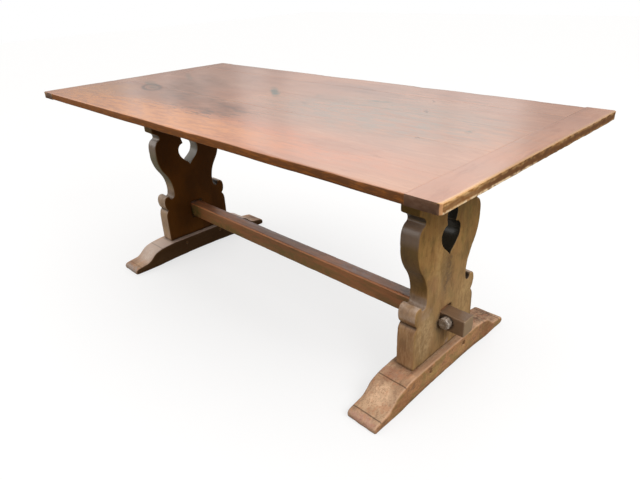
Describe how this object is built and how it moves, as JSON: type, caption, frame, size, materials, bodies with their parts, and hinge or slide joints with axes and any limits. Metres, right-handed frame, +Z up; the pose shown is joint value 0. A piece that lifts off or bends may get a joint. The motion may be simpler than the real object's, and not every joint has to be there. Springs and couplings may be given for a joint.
{
  "type": "trestle dining table",
  "caption": "Trestle dining table: boarded top with breadboard ends on sawn plank uprights, ogee feet and a through stretcher locked by knock-out tusk pegs.",
  "frame": {"origin": "On the floor, under the centre of the top.", "axes": "+X runs along the top, from the left trestle to the right one; +Y runs across it, from the front edge to the rear; +Z is up."},
  "size_m": [1.838, 0.866, 0.76],
  "materials": {
    "top_wood": "waxed reddish-brown softwood boards with a satin gloss",
    "end_board_wood": "waxed reddish-brown wood with a paler hewn outer edge",
    "upright_wood": "aged ochre-brown wood, satin, with vertical grain",
    "foot_wood": "worn pinkish-tan wood, rubbed pale on the toes",
    "stretcher_wood": "dark reddish-brown wood with rubbed arrises",
    "bearer_wood": "dark brown unpolished wood",
    "peg_wood": "brown wood, end grain",
    "tusk_wood": "grey-brown wood, rubbed smooth",
    "screw_steel": "dull aged steel"
  },
  "bodies": {
    "table": {"top_board_front": "top_wood", "top_board_inner_front": "top_wood", "top_board_middle": "top_wood", "top_board_inner_rear": "top_wood", "top_board_rear": "top_wood", "stretcher": "stretcher_wood", "breadboard_end_right": "end_board_wood", "breadboard_end_left": "end_board_wood", "breadboard_pegs_right": "peg_wood", "breadboard_pegs_left": "peg_wood", "bearer_right": "bearer_wood", "bearer_left": "bearer_wood", "bearer_joint_pegs_right": "peg_wood", "bearer_joint_pegs_left": "peg_wood", "top_screws_right": "screw_steel", "top_screws_left": "screw_steel", "upright_right": "upright_wood", "upright_left": "upright_wood", "foot_right": "foot_wood", "foot_left": "foot_wood", "foot_joint_pegs_right": "peg_wood", "foot_joint_pegs_left": "peg_wood"},
    "right_tusk": {"tusk_peg_right": "tusk_wood"},
    "left_tusk": {"tusk_peg_left": "tusk_wood"}
  },
  "joints": [
    {"name": "right_tusk_pull", "type": "slide", "parent": "table", "child": "right_tusk", "axis": [0, -1, 0], "range_m": [0, 0.085]},
    {"name": "left_tusk_pull", "type": "slide", "parent": "table", "child": "left_tusk", "axis": [0, -1, 0], "range_m": [0, 0.085]}
  ]
}
